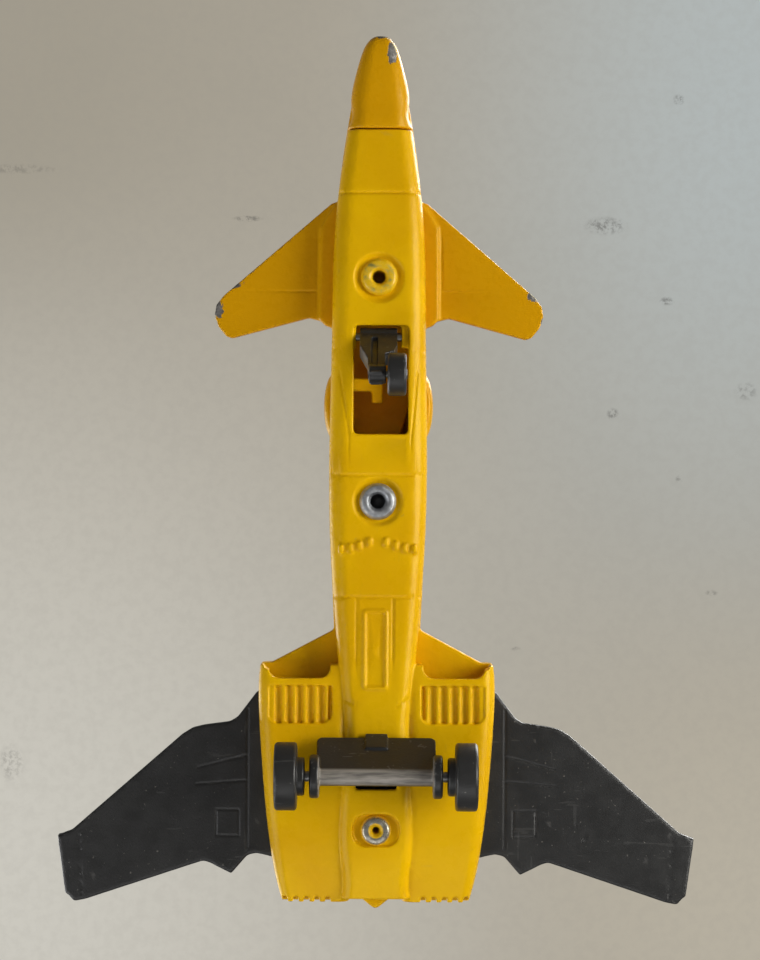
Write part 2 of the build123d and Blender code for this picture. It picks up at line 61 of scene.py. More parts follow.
def skin(node, name, voxel, smooth=3, keep=1.0, factor=0.5, soften=0):
    """The casting as it comes out of the mould and the paint: the node's own shape with every edge softly rounded."""
    me = N[node].data.copy()
    me.materials.clear()
    ob = link(me, name)
    bm = bmesh.new()
    bm.from_mesh(me)
    bmesh.ops.remove_doubles(bm, verts=bm.verts, dist=2e-6)
    bm.to_mesh(me)
    bm.free()
    r = ob.modifiers.new("remesh", "REMESH")
    r.mode = "VOXEL"
    r.voxel_size = voxel * MM
    r.use_smooth_shade = True
    apply_all(ob)
    if soften:
        taubin(ob, soften, factor, 0.0)
    if smooth:
        taubin(ob, smooth, factor)
    if keep < 1.0:
        d = ob.modifiers.new("thin", "DECIMATE")
        d.ratio = keep
        apply_all(ob)
    # stray crumbs of the remesh are dropped
    bm = bmesh.new()
    bm.from_mesh(ob.data)
    bm.verts.ensure_lookup_table()
    seen, groups = set(), []
    for v in bm.verts:
        if v.index in seen:
            continue
        stack, grp = [v], []
        seen.add(v.index)
        while stack:
            a = stack.pop()
            grp.append(a)
            for e in a.link_edges:
                b = e.other_vert(a)
                if b.index not in seen:
                    seen.add(b.index)
                    stack.append(b)
        groups.append(grp)
    big = max(len(g) for g in groups)
    drop = [v for g in groups if len(g) < big * 0.02 for v in g]
    if drop:
        bmesh.ops.delete(bm, geom=drop, context="VERTS")
    bm.to_mesh(ob.data)
    bm.free()
    for p in ob.data.polygons:
        p.use_smooth = True
    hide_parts(node)
    return ob


def taubin(ob, rounds, factor=0.5, back=0.96):
    """Smooths: a forward step, and a back step that keeps the size. With no back step the edges round over."""
    me = ob.data
    n = len(me.vertices)
    co = np.empty(n * 3)
    me.vertices.foreach_get("co", co)
    co = co.reshape(-1, 3)
    ed = np.empty(len(me.edges) * 2, dtype=np.int64)
    me.edges.foreach_get("vertices", ed)
    ed = ed.reshape(-1, 2)
    deg = np.bincount(ed.ravel(), minlength=n).astype(float)
    deg[deg == 0] = 1
    for _ in range(rounds):
        for f in (factor, -factor * back) if back else (factor,):
            s = np.zeros_like(co)
            for k in range(3):
                s[:, k] = np.bincount(ed[:, 0], co[ed[:, 1], k], n) + np.bincount(
                    ed[:, 1], co[ed[:, 0], k], n
                )
            co = co + f * (s / deg[:, None] - co)
    me.vertices.foreach_set("co", co.ravel())
    me.update()


def coords(ob):
    me = ob.data
    n = len(me.vertices)
    co = np.empty(n * 3)
    me.vertices.foreach_get("co", co)
    no = np.empty(n * 3)
    me.vertices.foreach_get("normal", no)
    return co.reshape(-1, 3) / MM, no.reshape(-1, 3)


def put(ob, co):
    ob.data.vertices.foreach_set("co", (co * MM).ravel())
    ob.data.update()


def bell(d, w):
    """1 on the line, 0 at w, smooth between."""
    t = np.clip(1 - np.abs(d) / w, 0, 1)
    return t * t * (3 - 2 * t)


def seg_dist(co, a, b):
    """Distance in plan from a segment a-b."""
    a, b = np.array(a, float), np.array(b, float)
    p = co[:, :2] - a
    ab = b - a
    t = np.clip((p @ ab) / (ab @ ab), 0, 1)
    return np.linalg.norm(p - t[:, None] * ab, axis=1)


def round_profile(points, default=0.0):
    """Corner list of (u, r, fillet) turned into a smooth 2-D profile."""
    out = []
    n = len(points)
    for i, p in enumerate(points):
        u = Vector((p[0], p[1]))
        rad = p[2] if len(p) > 2 else default
        if i in (0, n - 1) or rad <= 0:
            out.append((u.x, u.y))
            continue
        a = Vector((points[i - 1][0], points[i - 1][1])) - u
        b = Vector((points[i + 1][0], points[i + 1][1])) - u
        la, lb = a.length, b.length
        ang = a.angle(b)
        cut = min(rad / math.tan(ang / 2), la * 0.48, lb * 0.48)
        r = cut * math.tan(ang / 2)
        pa, pb = u + a.normalized() * cut, u + b.normalized() * cut
        mid = (a.normalized() + b.normalized()).normalized()
        c = u + mid * (r / math.sin(ang / 2))
        va, vb = pa - c, pb - c
        turn = va.angle(vb)
        sgn = 1 if va.x * vb.y - va.y * vb.x > 0 else -1
        k = 7
        for j in range(k + 1):
            t = sgn * turn * j / k
            out.append(
                (
                    c.x + va.x * math.cos(t) - va.y * math.sin(t),
                    c.y + va.x * math.sin(t) + va.y * math.cos(t),
                )
            )
    return out


def lathe(name, points, axis, centre, segs=112, flip=1):
    """Turned piece from an (along, radius) profile that starts and ends on the axis. axis is "X" or "Z"."""
    prof = round_profile(points)
    bm = bmesh.new()
    rings = []
    for u, r in prof:
        ring = []
        if r < 1e-6:
            ring = [None]
        for k in range(segs if r >= 1e-6 else 1):
            t = 2 * math.pi * k / segs
            a, b = r * math.cos(t), r * math.sin(t)
            p = (flip * u, a, b) if axis == "X" else (a, b, flip * u)
            v = bm.verts.new(Vector(p) * MM + Vector(centre) * MM)
            if r < 1e-6:
                ring = [v]
            else:
                ring.append(v)
        rings.append(ring)
    for a, b in zip(rings, rings[1:]):
        if len(a) == 1 and len(b) == 1:
            continue
        for k in range(segs):
            j = (k + 1) % segs
            if len(a) == 1:
                bm.faces.new((a[0], b[k], b[j]))
            elif len(b) == 1:
                bm.faces.new((a[k], b[0], a[j]))
            else:
                bm.faces.new((a[k], b[k], b[j], a[j]))
    bmesh.ops.recalc_face_normals(bm, faces=bm.faces)
    me = bpy.data.meshes.new(name)
    bm.to_mesh(me)
    bm.free()
    for p in me.polygons:
        p.use_smooth = True
    ob = link(me, name)
    return ob


# ============================================================ material helpers
class Mat:
    def __init__(self, name):
        self.m = bpy.data.materials.new(name)
        self.m.use_nodes = True
        self.t = self.m.node_tree
        self.t.nodes.clear()
        self.out = self.t.nodes.new("ShaderNodeOutputMaterial")
        self.co = self.t.nodes.new("ShaderNodeTexCoord").outputs["Object"]

    def node(self, kind, **props):
        n = self.t.nodes.new(kind)
        for k, v in props.items():
            setattr(n, k, v)
        return n

    def link(self, a, b):
        self.t.links.new(a, b)

    def noise(self, scale, detail=2.0, rough=0.5, stretch=None, shift=(0, 0, 0)):
        vec = self.co
        if stretch or any(shift):
            mp = self.node("ShaderNodeMapping")
            mp.inputs["Scale"].default_value = stretch or (1, 1, 1)
            mp.inputs["Location"].default_value = shift
            self.link(self.co, mp.inputs["Vector"])
            vec = mp.outputs["Vector"]
        n = self.node("ShaderNodeTexNoise")
        n.inputs["Scale"].default_value = scale
        n.inputs["Detail"].default_value = detail
        n.inputs["Roughness"].default_value = rough
        self.link(vec, n.inputs["Vector"])
        return n.outputs["Fac"]

    def ramp(self, x, lo, hi, a=0.0, b=1.0, smooth=True):
        r = self.node("ShaderNodeMapRange")
        r.interpolation_type = "SMOOTHSTEP" if smooth else "LINEAR"
        r.inputs["From Min"].default_value = lo
        r.inputs["From Max"].default_value = hi
        r.inputs["To Min"].default_value = a
        r.inputs["To Max"].default_value = b
        self.link(x, r.inputs["Value"])
        return r.outputs["Result"]

    def math(self, op, a, b=None):
        n = self.node("ShaderNodeMath", operation=op)
        for i, v in enumerate((a, b)):
            if v is None:
                continue
            if isinstance(v, (int, float)):
                n.inputs[i].default_value = v
            else:
                self.link(v, n.inputs[i])
        return n.outputs[0]

    def mix(self, fac, a, b):
        n = self.node("ShaderNodeMix", data_type="RGBA")
        for sock, v in ((n.inputs["Factor"], fac), (n.inputs[6], a), (n.inputs[7], b)):
            if isinstance(v, (int, float)):
                sock.default_value = v
            elif isinstance(v, tuple):
                sock.default_value = (*v, 1.0)
            else:
                self.link(v, sock)
        return n.outputs[2]

    def spot(self, centre, radius, soft=0.6, stretch=(1, 1, 1)):
        """1 near a point of the object, 0 away from it, in millimetres."""
        mp = self.node("ShaderNodeMapping")
        mp.inputs["Scale"].default_value = stretch
        mp.inputs["Location"].default_value = tuple(
            -c * MM * s for c, s in zip(centre, stretch)
        )
        self.link(self.co, mp.inputs["Vector"])
        d = self.node("ShaderNodeVectorMath", operation="LENGTH")
        self.link(mp.outputs["Vector"], d.inputs[0])
        return self.ramp(
            d.outputs["Value"], radius * MM * (1 - soft), radius * MM * (1 + soft), 1, 0
        )

    def axis(self, k):
        s = self.node("ShaderNodeSeparateXYZ")
        self.link(self.co, s.inputs[0])
        return s.outputs[k]

    def pointiness(self):
        return self.node("ShaderNodeNewGeometry").outputs["Pointiness"]

    def bump(self, height, distance_mm, strength=1.0, normal=None):
        b = self.node("ShaderNodeBump")
        b.inputs["Strength"].default_value = strength
        b.inputs["Distance"].default_value = distance_mm * MM
        self.link(height, b.inputs["Height"])
        if normal is not None:
            self.link(normal, b.inputs["Normal"])
        return b.outputs["Normal"]

    def shade(self, color, rough, metallic=0.0, normal=None, coat=0.0, coat_rough=0.1, spec=0.5, **more):
        p = self.node("ShaderNodeBsdfPrincipled")
        for key, v in {
            "Base Color": color,
            "Roughness": rough,
            "Metallic": metallic,
            "Coat Weight": coat,
            "Coat Roughness": coat_rough,
            "Specular IOR Level": spec,
            **more,
        }.items():
            s = p.inputs[key]
            if isinstance(v, (int, float)):
                s.default_value = v
            elif isinstance(v, tuple):
                s.default_value = (*v, 1.0)
            else:
                self.link(v, s)
        if normal is not None:
            self.link(normal, p.inputs["Normal"])
        self.link(p.outputs[0], self.out.inputs["Surface"])
        return self.m


YELLOW = (0.82, 0.475, 0.0010)
YELLOW_DEEP = (0.74, 0.40, 0.0008)
# brown of the darkened corners: painted shade with some soiling
SHADE_AND_SOIL_BROWN = (0.20, 0.085, 0.004)
ZINC = (0.33, 0.32, 0.31)


def yellow_paint(name, spots=(), edge_wear=0.25, corner_shade_and_soil=0.75, edge_zone=None, painted_shade_strength=1.0, painted_shade_zone=None):
    """Thick gloss enamel: slight orange peel, corners and creases darkened as painted shade with some soiling,
    thin on sharp edges, chipped to grey zinc in the named spots, and an optional zone darkened as painted shade."""
    m = Mat(name)
    tone = m.noise(90, 3.0, 0.55)
    col = m.mix(
        m.ramp(tone, 0.35, 0.70),
        YELLOW,
        YELLOW_DEEP,
    )
    # painted shade: inside the given zone the colour is darkened towards a more orange yellow
    if painted_shade_zone is not None:
        col = m.mix(painted_shade_zone(m), col, (YELLOW_DEEP[0] * painted_shade_strength, YELLOW_DEEP[1] * painted_shade_strength * painted_shade_strength, YELLOW_DEEP[2]))
    pt = m.pointiness()
    # painted shade with some soiling: concave corners and creases are darkened towards brown, where shade would fall
    low = m.ramp(pt, 0.375, 0.478, 1, 0)
    shade_and_soil_mask = m.math("MULTIPLY", low, m.ramp(m.noise(420, 3.0, 0.6), 0.25, 0.75, 0.45, 1.0))
    col = m.mix(m.math("MULTIPLY", shade_and_soil_mask, corner_shade_and_soil), col, SHADE_AND_SOIL_BROWN)
    # fine dust and rub marks
    rub = m.ramp(m.noise(1500, 4.0, 0.7, (1, 0.25, 1)), 0.62, 0.74)
    col = m.mix(m.math("MULTIPLY", rub, 0.10), col, (0.45, 0.30, 0.06))
    high = m.ramp(pt, 0.555, 0.640)
    chip = m.noise(900, 4.0, 0.65)
    wear = m.math("MULTIPLY", high, m.ramp(chip, 0.50, 0.62, 0.0, edge_wear))
    if edge_zone is not None:
        wear = m.math("MULTIPLY", wear, edge_zone(m))
    ragged = m.noise(1300, 4.0, 0.7, None, (0.3, 0.1, 0.7))
    for centre, radius, stretch in spots:
        s = m.spot(centre, radius, 0.75, stretch)
        s = m.math("ADD", s, m.math("MULTIPLY", m.math("SUBTRACT", ragged, 0.5), 1.5))
        s = m.ramp(s, 0.52, 0.62)
        wear = m.math("MAXIMUM", wear, s)
    metal = m.mix(m.ramp(ragged, 0.3, 0.7), ZINC, (0.16, 0.15, 0.145))
    col = m.mix(wear, col, metal)
    rough = m.ramp(m.noise(700, 3.0, 0.6), 0.3, 0.7, 0.24, 0.36)
    r2 = m.node("ShaderNodeMix", data_type="FLOAT")
    m.link(wear, r2.inputs["Factor"])
    m.link(rough, r2.inputs[2])
    r2.inputs[3].default_value = 0.5
    peel = m.math("ADD", m.math("MULTIPLY", m.noise(1100, 2.0, 0.5), 1.0),
                  m.math("MULTIPLY", m.noise(4200, 2.0, 0.5), 0.25))
    nrm = m.bump(peel, 0.055)
    nrm = m.bump(m.math("SUBTRACT", 1.0, wear), 0.03, 1.0, nrm)
    metallic = m.math("MULTIPLY", wear, 0.85)
    return m.shade(col, r2.outputs[0], metallic, nrm, coat=0.05, coat_rough=0.14, spec=0.26,
                   **{"Specular Tint": (1.0, 0.84, 0.32)})


def black_plastic(name, base=0.021, rough=(0.36, 0.52), scuff=0.5, painted_reflection_stripe=None, edge=0.35):
    """Moulded plastic: fine grain, faint flow tone, hairline scratches, paler edges that are partly rubbing and partly
    a painted highlight, and an optional pale stripe that is a painted reflection.
    """
    m = Mat(name)
    tone = m.ramp(m.noise(130, 3.0, 0.6), 0.3, 0.7)
    col = m.mix(tone, (base, base, base * 1.03), (base * 1.5, base * 1.5, base * 1.5))
    s1 = m.ramp(m.noise(900, 3.0, 0.75, (0.12, 1.0, 1.0)), 0.640, 0.668)
    s2 = m.ramp(m.noise(800, 3.0, 0.75, (1.0, 0.10, 1.0), (0.5, 0.2, 0)), 0.655, 0.680)
    scr = m.math("MULTIPLY", m.math("MAXIMUM", s1, s2), scuff)
    col = m.mix(m.math("MULTIPLY", scr, 0.45), col, (0.14, 0.14, 0.135))
    # paler convex edges: partly rubbed plastic, partly a painted highlight
    pt = m.pointiness()
    hi = m.ramp(pt, 0.535, 0.640)
    col = m.mix(m.math("MULTIPLY", hi, edge), col, (0.16, 0.155, 0.15))
    dust = m.ramp(m.noise(2600, 2.0, 0.5), 0.70, 0.76)
    col = m.mix(m.math("MULTIPLY", dust, 0.35), col, (0.30, 0.28, 0.25))
    ro = m.ramp(m.noise(500, 3.0, 0.6), 0.3, 0.7, rough[0], rough[1])
    # painted reflection: a pale streaked stripe where the glossy plastic would mirror a bright window
    if painted_reflection_stripe is not None:
        b = painted_reflection_stripe(m)
        streak = m.noise(1000, 4.0, 0.7, (0.10, 1.0, 1.0), (0.1, 0.4, 0.2))
        b = m.math("MULTIPLY", b, m.ramp(streak, 0.36, 0.60, 0.35, 1.0))
        col = m.mix(b, col, (0.42, 0.385, 0.34))
    grain = m.math("ADD", m.noise(3800, 2.0, 0.6), m.math("MULTIPLY", m.noise(600, 2.0), 0.6))
    nrm = m.bump(grain, 0.022)
    nrm = m.bump(m.math("SUBTRACT", 1.0, scr), 0.012, 1.0, nrm)
    return m.shade(col, ro, 0.0, nrm, spec=0.5)


def bare_metal(name, base=(0.52, 0.54, 0.57), rough=(0.42, 0.60), painted_recess_shade=0.6):
    m = Mat(name)
    n = m.noise(1600, 4.0, 0.65)
    col = m.mix(m.ramp(n, 0.3, 0.7), base, tuple(c * 0.62 for c in base))
    # painted shade: concave recesses, such as a rivet's bore, are darkened
    low = m.ramp(m.pointiness(), 0.36, 0.49, 1, 0)
    col = m.mix(m.math("MULTIPLY", low, painted_recess_shade), col, (0.05, 0.045, 0.04))
    metallic = 1.0
    ro = m.ramp(m.noise(2300, 3.0, 0.6), 0.3, 0.7, rough[0], rough[1])
    nrm = m.bump(m.noise(2600, 3.0, 0.6), 0.03)
    return m.shade(col, ro, metallic, nrm)


# =================================================================== castings
upper = skin("upper_body", "upper_casting", 0.15, 3, 0.32, soften=4)
lower = skin("lower_base", "lower_casting", 0.125, 3, 0.31, soften=4)
wing = skin("wing_insert", "wing_moulding", 0.13, 2, 0.60, soften=14)
leg = skin("nose_gear_leg", "nose_leg_moulding", 0.07, 2, soften=4)
strut = skin("main_gear_strut", "main_strut_moulding", 0.095, 2, soften=6)
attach(upper, "airframe")
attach(lower, "airframe")
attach(wing, "airframe")
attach(strut, "airframe")
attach(leg, "nose_gear")


def outer(co, no):
    """Vertices of the outside face of a casting, which looks away from the fuselage's middle."""
    out = co.copy()
    out[:, 1] = 0
    out[:, 2] -= 12.0
    out[:, 0] *= 0.8
    return (out * no).sum(1) > 0.15 * np.linalg.norm(out, axis=1)


# panel lines of the lower casting, pressed in along the surface normal
co, no = coords(lower)
o = outer(co, no)
depth = np.zeros(len(co))
in_tail = co[:, 1] < 21.5
for y in (0.31, 14.16, -31.85):
    depth = np.maximum(depth, 0.15 * bell(co[:, 1] - y, 0.26) * (o & in_tail))
# short side lines ahead of the bay and the flared panel behind it
under = o & (no[:, 2] < -0.35) & in_tail
side = o & (np.abs(co[:, 0]) > 3.9)
depth = np.maximum(depth, 0.13 * bell(co[:, 1] + 13.9, 0.24) * side * (no[:, 2] < 0.5))
for a, b in (
    ((-4.45, -11.2), (-3.25, -3.7)), ((-3.25, -3.7), (-2.45, 0.3)),
    ((4.45, -11.2), (3.75, -3.7)), ((3.75, -3.7), (2.35, 0.3)),
    ((-3.25, -3.7), (3.75, -3.7)),
    ((-2.35, 14.3), (-2.35, 25.2)), ((1.8, 14.3), (1.8, 25.2)),
):
    depth = np.maximum(depth, 0.13 * bell(seg_dist(co, a, b), 0.24) * under)
rear = o & (no[:, 2] < -0.35)
for a, b in (
    ((-3.6, 25.9), (-2.2, 26.5)), ((-2.2, 26.5), (2.2, 26.5)), ((2.2, 26.5), (3.6, 25.9)),
):
    depth = np.maximum(depth, 0.14 * bell(seg_dist(co, a, b), 0.26) * rear)
# a plain ladder of low ribs in the sunk belly panel
rise = np.zeros(len(co))
panel = under & (np.abs(co[:, 0] + 0.2) < 0.86) & (co[:, 1] > 16.1) & (co[:, 1] < 24.1)
ph = (co[:, 1] - 16.35) / 0.62
tri = np.abs((ph % 1.0) - 0.5)
rise += 0.11 * np.clip((0.30 - tri) / 0.16, 0, 1) * np.clip((0.86 - np.abs(co[:, 0] + 0.2)) / 0.2, 0, 1) * panel
co = co - no * (depth - rise)[:, None]
put(lower, co)

# lines on the wing's underside, its hatch, and the same on top
co, no = coords(wing)
flatb = no[:, 2] < -0.6
flatt = no[:, 2] > 0.6
depth = np.zeros(len(co))
ax = np.abs(co[:, 0])
q = co.copy()
q[:, 0] = ax
for face in (flatb, flatt):
    for a, b in (
        ((14.8, 27.3), (14.8, 43.2)),
        ((14.9, 32.6), (20.6, 34.1)), ((14.9, 35.5), (20.7, 36.0)),
        ((15.8, 38.9), (18.4, 38.9)), ((18.4, 38.9), (18.4, 41.9)),
        ((18.4, 41.9), (15.8, 41.9)), ((15.8, 41.9), (15.8, 38.9)),
        ((34.3, 42.0), (33.9, 48.9)),
    ):
        depth = np.maximum(depth, 0.085 * bell(seg_dist(q, a, b), 0.20) * face)
# ejector pin mark on the right wing
r = np.hypot(co[:, 0] - 23.0, co[:, 1] - 41.6)
depth = np.maximum(depth, 0.06 * bell(r - 1.2, 0.18) * flatb)
put(wing, co - no * depth[:, None])

# canard flap lines, canopy sill, spine and fin lines of the upper casting
co, no = coords(upper)
ax = np.abs(co[:, 0])
q = co.copy()
q[:, 0] = ax
depth = np.zeros(len(co))
plan = (np.abs(no[:, 2]) > 0.6) & (ax > 6.9) & (co[:, 1] < -14)
for a, b in (((7.2, -20.9), (16.2, -17.9)), ((7.15, -27.5), (7.15, -18.2))):
    depth = np.maximum(depth, 0.09 * bell(seg_dist(q, a, b), 0.22) * plan)
top = (no[:, 2] > 0.25) & (co[:, 2] > 13.0)
for y, x0, x1 in ((0.3, 0, 6), (13.3, 0, 6), (-31.8, 0, 5)):
    m_ = top & (ax >= x0) & (ax <= x1)
    depth = np.maximum(depth, 0.13 * bell(co[:, 1] - y, 0.26) * m_)
pod_top = (no[:, 2] > 0.5) & (ax > 5.0) & (co[:, 1] > 24)
for a, b in (((5.6, 27.5), (12.6, 27.5)), ((6.2, 31.0), (6.2, 46.0)), ((5.6, 46.0), (11.0, 46.0)), ((11.6, 28.0), (11.2, 45.0))):
    depth = np.maximum(depth, 0.10 * bell(seg_dist(q, a, b), 0.24) * pod_top)
# rudder hinge line on both faces of each fin
fin = (np.abs(no[:, 0]) > 0.75) & (co[:, 2] > 16.6) & (ax > 7)
depth = np.maximum(depth, 0.09 * bell(co[:, 1] - (45.2 + 0.06 * (co[:, 2] - 16)), 0.22) * fin)
# shallow dimples of a vent row on the spine, behind the canopy
for k in range(5):
    for sx in (1, -1):
        d = np.hypot((co[:, 0] - sx * 1.5) / 1.0, (co[:, 1] - (2.3 + 1.15 * k)) / 0.42)
        depth = np.maximum(depth, 0.13 * bell(d, 1.0) * (top & (co[:, 2] > 16.5)))
put(upper, co - no * depth[:, None])

# ============================================================== turned pieces
hx, hy, hz = 0.0, 34.0, 3.8


def turned_wheel(name, node, sign):
    w = lathe(
        name,
        [
            (10.73, 0.0), (10.73, 0.60), (8.0, 0.60, 0.0), (8.0, 2.15, 0.28),
            (8.84, 2.15, 0.12), (8.86, 2.75, 0.10), (8.86, 3.80, 0.34), (11.35, 3.80, 0.95),
            (11.35, 2.95, 0.16), (11.08, 2.75, 0.10), (11.02, 1.75, 0.12), (11.20, 1.60, 0.10),
            (11.26, 0.55, 0.20), (11.14, 0.42, 0.08), (11.12, 0.0),
        ],
        "X", (0, hy, hz), 128, sign,
    )
    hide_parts(node)
    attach(w, "main_wheel_set")
    return w


wheel_r = turned_wheel("right_main_wheel_turned", "right_main_wheel", 1)
wheel_l = turned_wheel("left_main_wheel_turned", "left_main_wheel", -1)

axle = lathe(
    "main_axle_rod",
    [(-10.72, 0.0), (-10.72, 0.60, 0.15), (10.72, 0.60, 0.15), (10.72, 0.0)],
    "X", (0, hy, hz), 48,
)
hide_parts("main_axle")
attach(axle, "main_wheel_set")

ny, nz = -10.9, 2.4
nwheel = lathe(
    "nose_wheel_turned",
    [
        (2.85, 0.449), (1.0, 0.449, 0.0), (1.0, 2.40, 0.38), (3.1, 2.40, 0.42),
        (3.1, 1.62, 0.12), (2.72, 1.48, 0.08), (2.68, 0.92, 0.08), (2.86, 0.84, 0.06), (2.85, 0.449),
    ],
    "X", (0, ny, nz), 112,
)
bm = bmesh.new()
bm.from_mesh(nwheel.data)
bmesh.ops.remove_doubles(bm, verts=bm.verts, dist=1e-7)
bm.to_mesh(nwheel.data)
bm.free()
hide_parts("nose_wheel")
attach(nwheel, "nose_wheel_body")

naxle = lathe(
    "nose_axle_pin",
    [(-1.05, 0.0), (-1.05, 0.40, 0.12), (2.93, 0.40, 0.04), (2.95, 0.62, 0.06), (3.19, 0.60, 0.16), (3.2, 0.0)],
    "X", (0, ny, nz), 48,
)
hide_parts("nose_wheel_axle")
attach(naxle, "nose_gear")

npin = lathe(
    "nose_hinge_pin",
    [(-4.04, 0.0), (-4.04, 0.50, 0.12), (4.04, 0.50, 0.12), (4.04, 0.0)],
    "X", (0, -15.4, 9.5), 48,
)
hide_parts("nose_gear_pin")
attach(npin, "airframe")


def turned_rivet(name, node, y, zh, head, shank, bore, top=14.78):
    """Tubular rivet: the tube's end is rolled outward into a ring."""
    R, b = head / 2, bore / 2
    crest = zh - 0.74
    rv = lathe(
        name,
        [
            (top - 1.4, 0.0), (top - 1.4, b), (zh - 0.25, b, 0.25), (crest + 0.02, b + 0.30, 0.30),
            (crest, (b + R) / 2, 0.30), (crest + 0.06, R - 0.32, 0.30), (zh - 0.28, R, 0.20), (zh - 0.01, R - 0.03, 0.05),
            (zh - 0.01, shank / 2, 0.0), (top, shank / 2, 0.05), (top, 0.0),
        ],
        "Z", (0, y, 0), 112,
    )
    # the rolling leaves the ring slightly uneven
    c, n_ = coords(rv)
    t = np.arctan2(c[:, 1] - y, c[:, 0])
    low = c[:, 2] < zh - 0.2
    c[:, 2] += low * 0.022 * (np.sin(3 * t + y) + 0.6 * np.sin(7 * t + 2 * y))
    put(rv, c)
    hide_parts(node)
    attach(rv, "airframe")
    return rv


rv_f = turned_rivet("front_rivet_rolled", "front_rivet", -22.2, 9.0, 4.2, 2.4, 1.5)
rv_m = turned_rivet("mid_rivet_rolled", "mid_rivet", 3.3, 8.85, 4.2, 2.4, 1.7)
rv_r = turned_rivet("rear_rivet_rolled", "rear_rivet", 40.7, 9.3, 3.5, 2.0, 0.8)

# ================================================================== materials
canard_zone = lambda m: m.math(
    "MULTIPLY",
    m.ramp(m.math("ABSOLUTE", m.axis(0)), 0.0070, 0.0095),
    m.ramp(m.axis(1), -0.0120, -0.0145),
)
mat_upper = yellow_paint(
    "yellow_enamel_upper",
    spots=(
        ((0.2, -50.0, 12.2), 0.95, (1, 1, 1)),
        ((1.35, -47.9, 11.3), 1.35, (2.2, 1.0, 0.8)),
        ((-18.6, -18.6, 13.4), 1.0, (1.2, 0.8, 1)),
        ((-16.5, -21.5, 13.4), 0.7, (1.0, 1.2, 1)),
        ((17.7, -20.3, 13.4), 0.9, (1, 1.1, 1)),
        ((18.8, -17.6, 13.4), 0.6, (1, 1, 1)),
        ((8.6, 44.5, 25.6), 0.8, (1, 0.5, 1)),
    ),
    # painted shade: the front of this casting, nose and canards, is darkened from y = 4 mm forward, strongest ahead of
    # y = -10 mm
    edge_wear=0.55, corner_shade_and_soil=0.7, edge_zone=canard_zone, painted_shade_strength=0.88,
    painted_shade_zone=lambda m: m.ramp(m.axis(1), 0.004, -0.010, 0.0, 0.9),
)
mat_lower = yellow_paint("yellow_enamel_lower", edge_wear=0.10, corner_shade_and_soil=0.8)
mat_wing = black_plastic("black_wing_plastic", 0.014, (0.36, 0.48), 0.30, edge=0.25)
# painted reflection: a pale stripe on the lowest part of the strut, below z = 3.45 mm, stands in for the window's
# reflection
mat_strut = black_plastic(
    "black_strut_plastic", 0.016, (0.30, 0.42), 0.8,
    painted_reflection_stripe=lambda m: m.math("MULTIPLY", m.math("MULTIPLY", m.ramp(m.axis(2), 0.00345, 0.00300), 0.75),
                          m.ramp(m.math("ABSOLUTE", m.axis(0)), 0.0066, 0.0063)),
    edge=0.5,
)
mat_leg = black_plastic("black_leg_plastic", 0.015, (0.30, 0.44), 0.7, edge=0.5)
mat_wheel = black_plastic("black_wheel_plastic", 0.016, (0.34, 0.46), 0.6, edge=0.4)
mat_mid = bare_metal("bare_rivet_metal")
mat_steel = bare_metal("drawn_steel", (0.30, 0.30, 0.30), (0.30, 0.42), 0.3)


def painted_ring(name, base, left, y, r_in, r_out):
    """Rivet with its paint rubbed off the crest of the rolled ring."""
    m = Mat(name)
    n = m.noise(1500, 4.0, 0.7)
    mp = m.node("ShaderNodeMapping")
    mp.inputs["Location"].default_value = (0, -y * MM, 0)
    mp.inputs["Scale"].default_value = (1, 1, 0)
    m.link(m.co, mp.inputs["Vector"])
    ln = m.node("ShaderNodeVectorMath", operation="LENGTH")
    m.link(mp.outputs["Vector"], ln.inputs[0])
    r = ln.outputs["Value"]
    crest = m.math("MULTIPLY", m.ramp(r, r_in * MM, (r_in + 0.2) * MM), m.ramp(r, (r_out - 0.1) * MM, r_out * MM, 1, 0))
    rub = m.math("ADD", crest, m.math("MULTIPLY", m.math("SUBTRACT", n, 0.5), 1.4))
    rub = m.math("MULTIPLY", m.ramp(rub, left, left + 0.25), m.ramp(m.axis(2), 0.0090, 0.0087))
    metal = m.mix(m.ramp(n, 0.3, 0.7), base, tuple(c * 0.6 for c in base))
    col = m.mix(rub, (0.78, 0.48, 0.006), metal)
    # painted shade: concave recesses, such as the bore, are darkened towards brown
    low = m.ramp(m.pointiness(), 0.38, 0.49, 1, 0)
    col = m.mix(m.math("MULTIPLY", low, 0.55), col, (0.14, 0.08, 0.01))
    nrm = m.bump(m.noise(2100, 3.0, 0.6), 0.04)
    return m.shade(col, m.ramp(n, 0.3, 0.7, 0.22, 0.40), m.math("MULTIPLY", rub, 0.9), nrm, coat=0.2)


mat_front = painted_ring("rivet_paint_front", (0.84, 0.72, 0.20), 0.98, -22.2, 0.95, 1.95)
mat_rear = painted_ring("rivet_paint_rear", (0.60, 0.57, 0.48), 0.50, 40.7, 0.75, 1.68)

mc = Mat("smoke_canopy")
sm = mc.noise(900, 3.0, 0.6)
mat_canopy = mc.shade(
    mc.mix(mc.ramp(sm, 0.3, 0.7), (0.20, 0.17, 0.14), (0.27, 0.23, 0.19)),
    mc.ramp(mc.noise(1400, 3.0, 0.6), 0.35, 0.7, 0.05, 0.13),
    0.0, mc.bump(mc.noise(700, 2.0), 0.01), coat=0.4, coat_rough=0.05,
    **{"Transmission Weight": 0.88, "IOR": 1.49},
)


def give(ob, mat):
    ob.data.materials.clear()
    ob.data.materials.append(mat)


